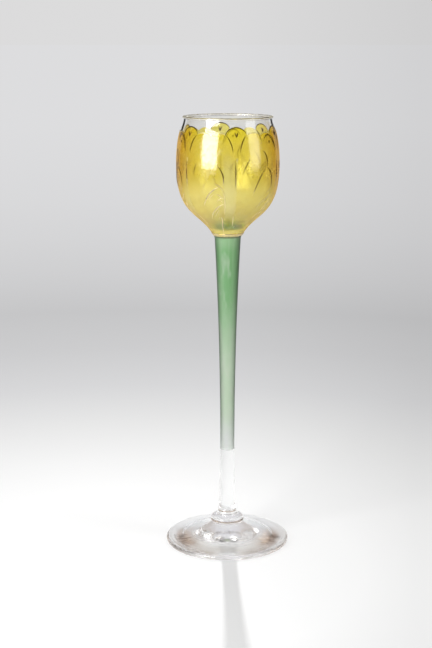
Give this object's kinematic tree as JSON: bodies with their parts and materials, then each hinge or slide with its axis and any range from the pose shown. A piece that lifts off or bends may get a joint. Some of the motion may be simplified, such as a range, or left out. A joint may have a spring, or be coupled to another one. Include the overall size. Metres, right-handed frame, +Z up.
{
  "type": "liqueur glass",
  "caption": "Tall stemmed liqueur glass shaped as a flower: clear bowl with yellow enamel petals and gilt lines, green stem, clear foot.",
  "frame": {"origin": "centre of the circle on which the foot rests", "axes": "+Z up the axis of the glass, -Y towards the front of the petal pattern, +X to its right"},
  "size_m": [0.0564, 0.0564, 0.195],
  "materials": {
    "clear_glass": "clear colourless blown glass, polished",
    "green_enamel": "translucent green enamel, satin, streaked, paling towards the foot",
    "yellow_enamel": "transparent yellow enamel, glossy, paler towards the stem",
    "gilding": "fired gold, thin and softly worn"
  },
  "bodies": {
    "root": {"foot": "clear_glass", "merese": "clear_glass", "stem": "clear_glass", "stem_green_enamel": "green_enamel", "bowl": "clear_glass", "lip_gilding": "gilding", "joint_gilding": "gilding", "inner_petal_1": "yellow_enamel", "inner_petal_2": "yellow_enamel", "inner_petal_3": "yellow_enamel", "inner_petal_4": "yellow_enamel", "inner_petal_5": "yellow_enamel", "inner_petal_6": "yellow_enamel", "outer_petal_1": "yellow_enamel", "outer_petal_2": "yellow_enamel", "outer_petal_3": "yellow_enamel", "outer_petal_4": "yellow_enamel", "outer_petal_5": "yellow_enamel", "outer_petal_6": "yellow_enamel"}
  },
  "joints": []
}
